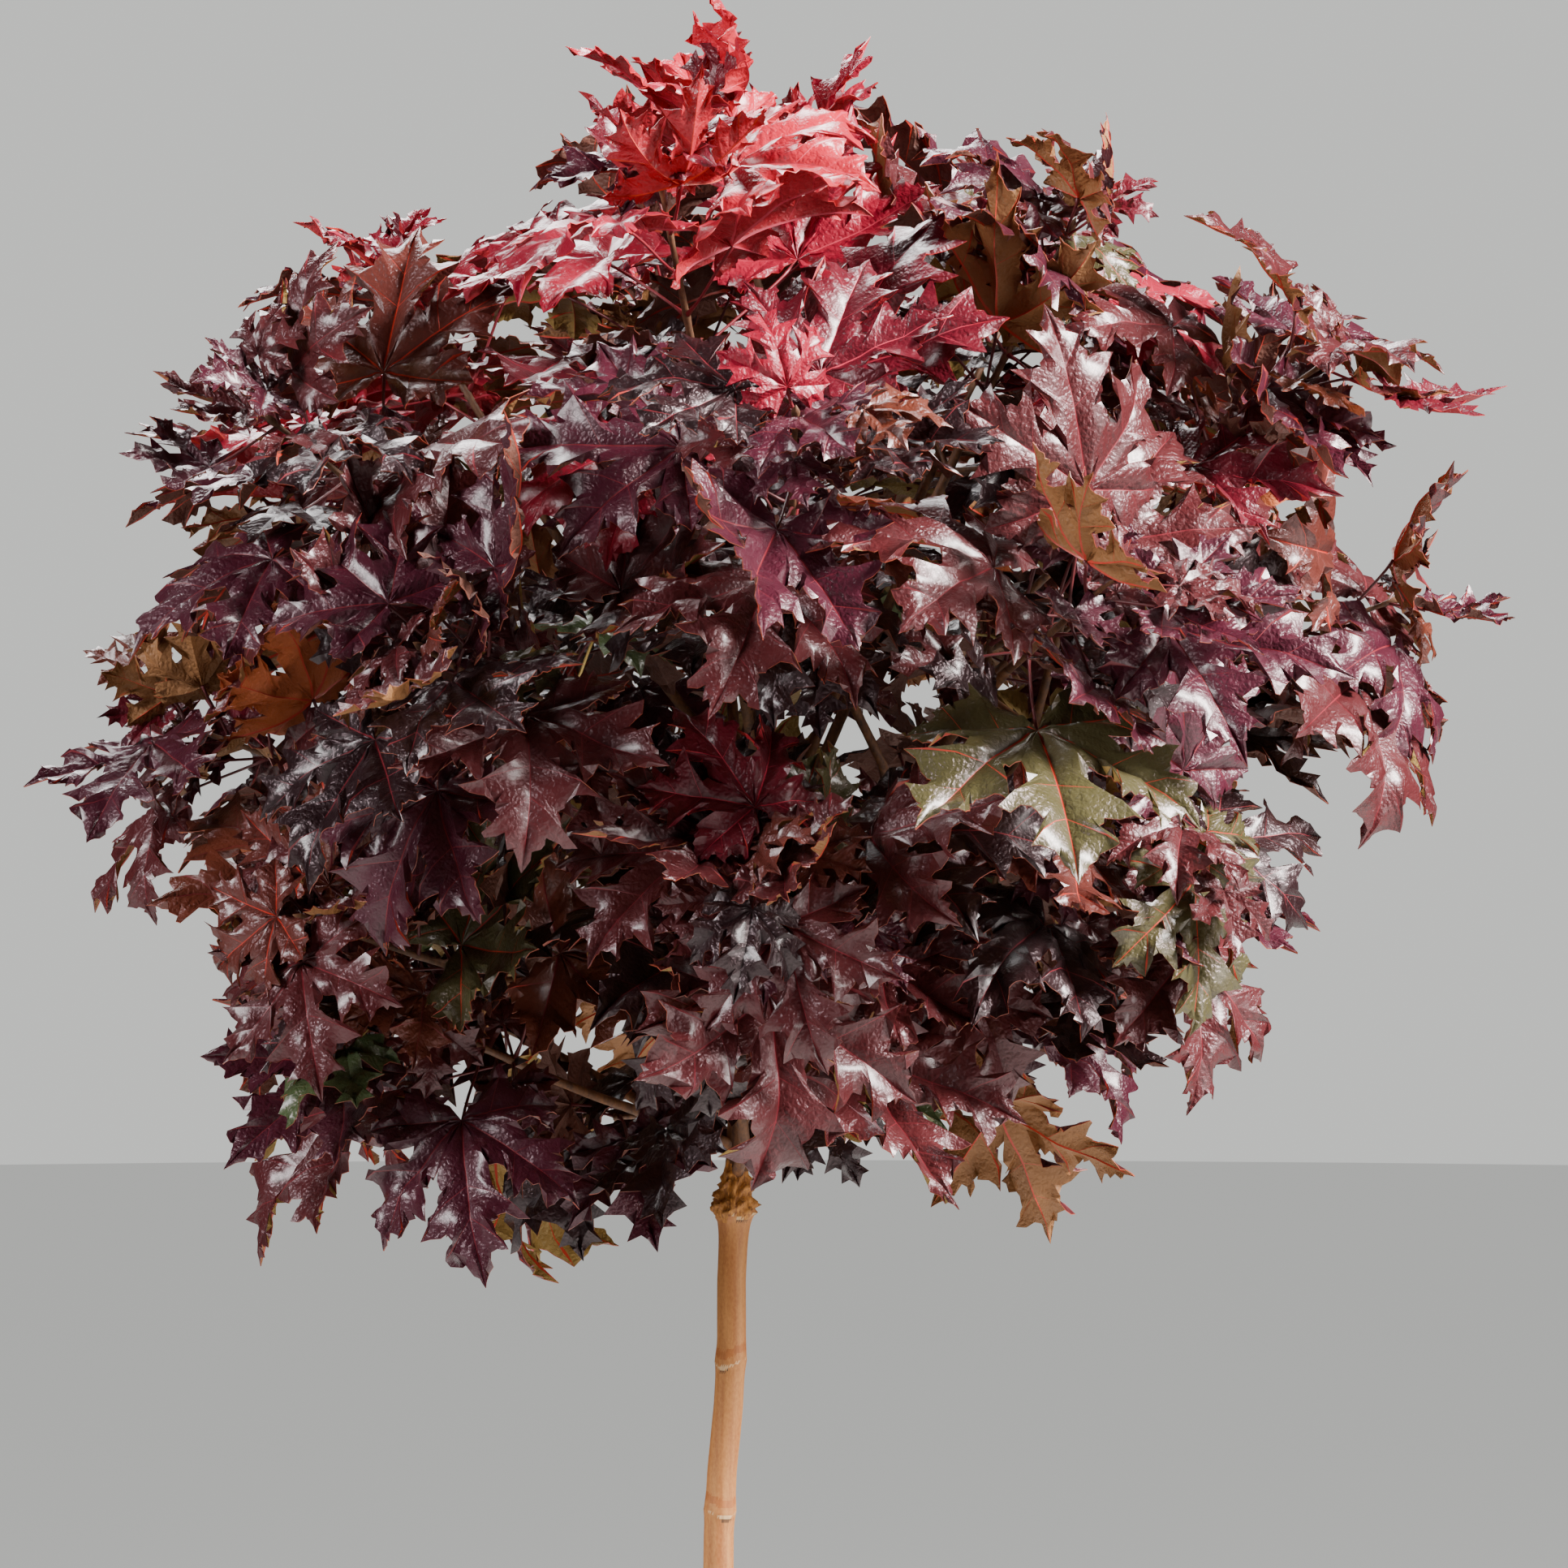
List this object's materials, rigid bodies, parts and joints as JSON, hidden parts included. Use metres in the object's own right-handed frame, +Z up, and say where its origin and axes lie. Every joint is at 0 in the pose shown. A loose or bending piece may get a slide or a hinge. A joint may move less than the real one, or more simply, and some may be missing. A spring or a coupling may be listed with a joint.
{
  "type": "young norway maple tree",
  "caption": "Young broadleaved tree: a slender clear trunk under a dense round crown of lobed dark purple leaves, red at the top.",
  "frame": {"origin": "centre of the flat cut under the trunk, at ground level", "axes": "+Z up the trunk, -Y towards the side of the crown that the picture shows, +X to that side's right"},
  "size_m": [0.8074, 0.8079, 1.621],
  "materials": {
    "trunk_bark": "matt young bark",
    "bough_bark": "matt young bark",
    "leaves": "glossy leaf",
    "young_leaves": "glossy young leaf"
  },
  "bodies": {
    "root": {"bough_crest_1": "bough_bark", "bough_crest_2": "bough_bark", "bough_crest_3": "bough_bark", "bough_crest_4": "bough_bark", "bough_crest_5": "bough_bark", "bough_lower_1": "bough_bark", "bough_lower_2": "bough_bark", "bough_lower_3": "bough_bark", "bough_lower_4": "bough_bark", "bough_lower_5": "bough_bark", "bough_lower_6": "bough_bark", "bough_middle_1": "bough_bark", "bough_middle_2": "bough_bark", "bough_middle_3": "bough_bark", "bough_middle_4": "bough_bark", "bough_middle_5": "bough_bark", "bough_middle_6": "bough_bark", "bough_skirt_1": "bough_bark", "bough_skirt_2": "bough_bark", "bough_skirt_3": "bough_bark", "bough_skirt_4": "bough_bark", "bough_skirt_5": "bough_bark", "bough_upper_1": "bough_bark", "bough_upper_2": "bough_bark", "bough_upper_3": "bough_bark", "bough_upper_4": "bough_bark", "bough_upper_5": "bough_bark", "bough_upper_6": "bough_bark", "foliage_crest_1": "young_leaves", "foliage_crest_2": "young_leaves", "foliage_crest_3": "young_leaves", "foliage_crest_4": "young_leaves", "foliage_crest_5": "leaves", "foliage_lower_1": "leaves", "foliage_lower_2": "leaves", "foliage_lower_3": "leaves", "foliage_lower_4": "leaves", "foliage_lower_5": "leaves", "foliage_lower_6": "leaves", "foliage_middle_1": "leaves", "foliage_middle_2": "leaves", "foliage_middle_3": "leaves", "foliage_middle_4": "leaves", "foliage_middle_5": "leaves", "foliage_middle_6": "leaves", "foliage_skirt_1": "leaves", "foliage_skirt_2": "leaves", "foliage_skirt_3": "leaves", "foliage_skirt_4": "leaves", "foliage_skirt_5": "leaves", "foliage_top": "young_leaves", "foliage_upper_1": "leaves", "foliage_upper_2": "leaves", "foliage_upper_3": "leaves", "foliage_upper_4": "leaves", "foliage_upper_5": "leaves", "foliage_upper_6": "leaves", "trunk": "trunk_bark"}
  },
  "joints": []
}
